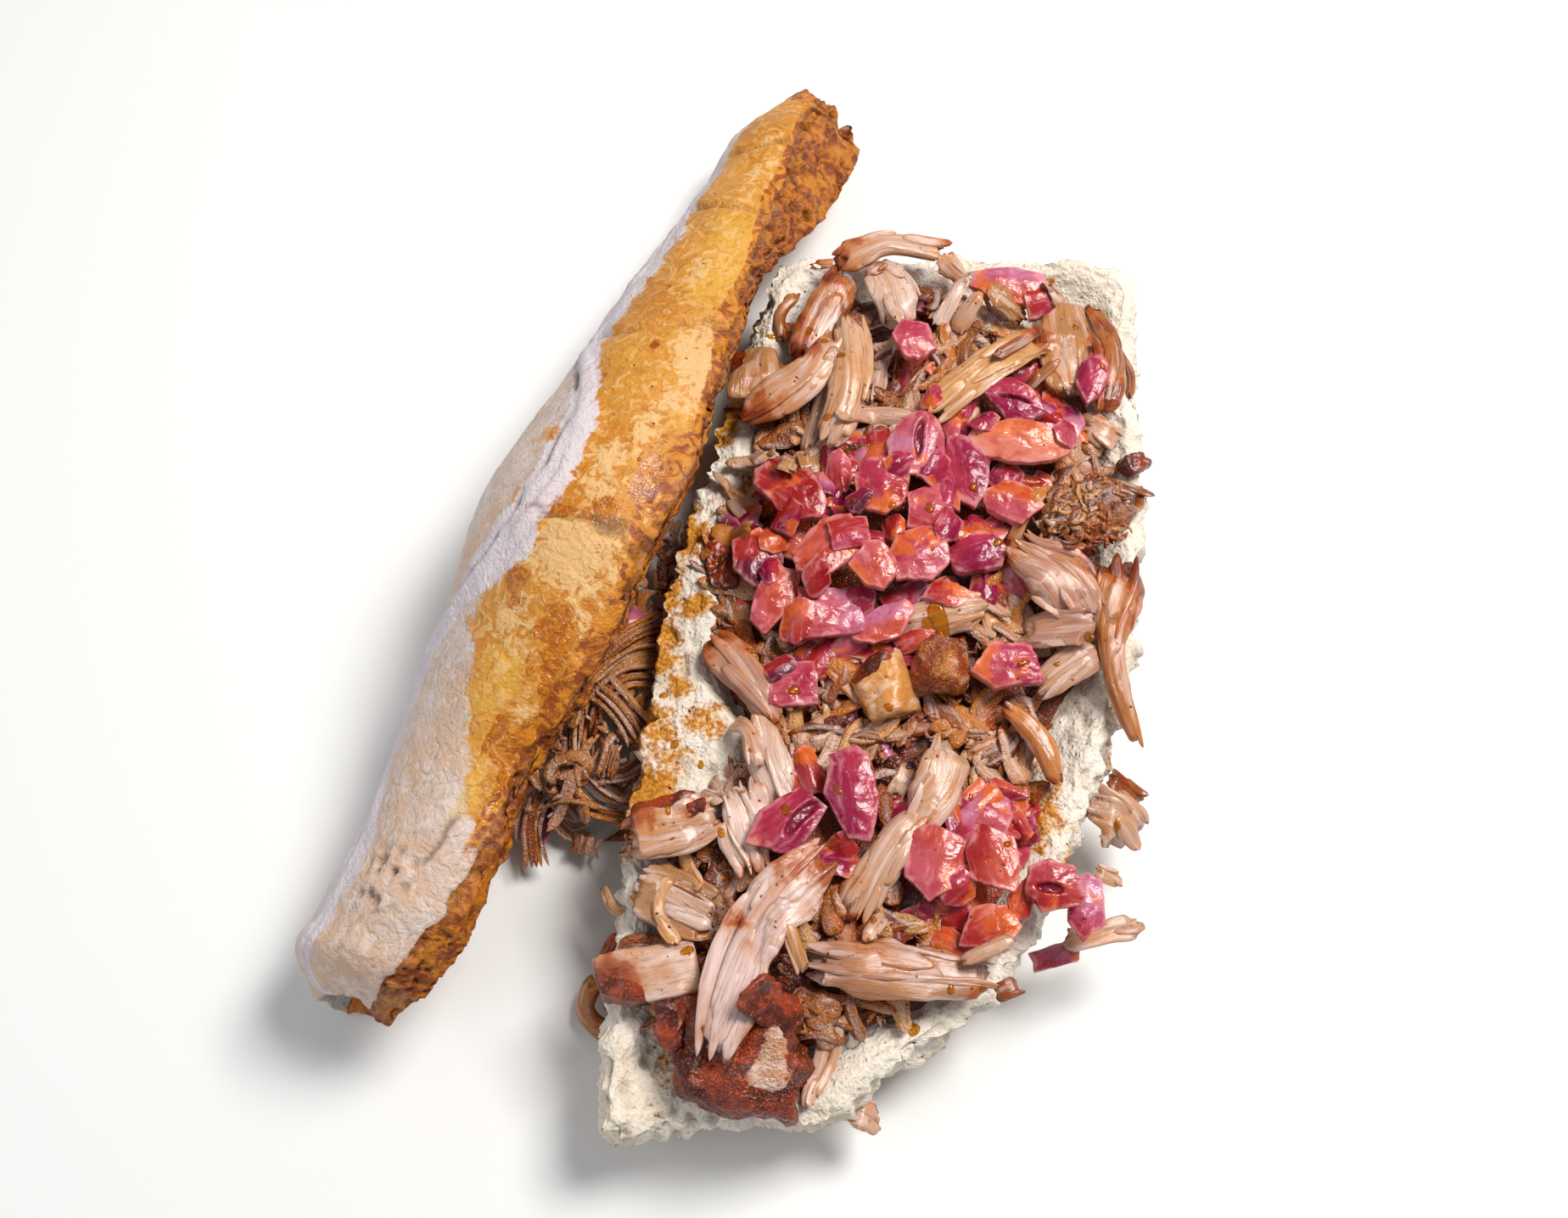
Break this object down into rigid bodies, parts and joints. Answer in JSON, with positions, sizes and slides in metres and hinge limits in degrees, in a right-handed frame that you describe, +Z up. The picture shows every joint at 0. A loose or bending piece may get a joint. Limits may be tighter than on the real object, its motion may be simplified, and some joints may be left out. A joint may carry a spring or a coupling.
{
  "type": "torta sandwich",
  "caption": "Opened torta: a long crusty loaf half heaped with pulled pork and chopped pickled red onion, the other half leaning over it.",
  "frame": {"origin": "middle of the bounding box at table level", "axes": "+Y along the heel's length, away from the viewer; +X to the right, from the leaning half towards the heel; +Z up"},
  "size_m": [0.184, 0.2536, 0.0587],
  "materials": {
    "crumb": "porous off-white crumb, matte, with yellow oil stains; pale floured crust below",
    "crust": "golden oiled crust, satin, with pale floured stretches",
    "pork": "moist pinkish beige meat fibres with orange brown edges",
    "bark": "dark red brown seasoned crust and minced shreds, moist",
    "fat": "glossy, slightly translucent pale fat",
    "onion": "wet translucent pink to magenta, orange red in places"
  },
  "bodies": {
    "root": {"bread_lid": "crust", "onion_tile": "onion", "onion_twist": "onion", "onion_jewel": "onion", "onion_spindle": "onion", "onion_tent": "onion", "onion_long": "onion", "onion_bowl": "onion", "onion_ruby": "onion", "onion_plum": "onion", "onion_wine": "onion", "onion_blush": "onion", "onion_cube": "onion", "onion_loaf": "onion", "onion_violet": "onion", "onion_shell": "onion", "onion_rose": "onion", "onion_lobes": "onion", "onion_pearl": "onion", "onion_square": "onion", "onion_drop": "onion", "onion_block": "onion", "onion_leaf": "onion", "onion_slit": "onion", "onion_cheek": "onion", "onion_coral": "onion", "onion_mouth": "onion", "onion_flame": "onion", "onion_edge": "onion", "shred_great": "pork", "shred_horn": "pork", "shred_arch": "pork", "shred_flap": "pork", "shred_peak": "pork", "shred_grain": "pork", "shred_cross": "pork", "shred_stained": "pork", "shred_rind": "pork", "slab_pale": "fat", "chunk_west": "pork", "clump_mince": "bark", "shred_fan": "pork", "strip_pool": "pork", "strip_east": "pork", "chunk_golden": "pork", "chunk_crusted": "bark", "strip_rim": "pork", "shred_west": "pork", "shred_white": "pork", "shred_feather": "pork", "slab_upper": "fat", "slab_lower": "fat", "shred_diag": "pork", "shred_middle": "pork", "shred_broad": "pork", "chunk_corner": "pork", "chunk_bark": "bark", "pork_bed": "bark", "bread_heel": "crumb", "pork_spill": "bark"}
  },
  "joints": []
}
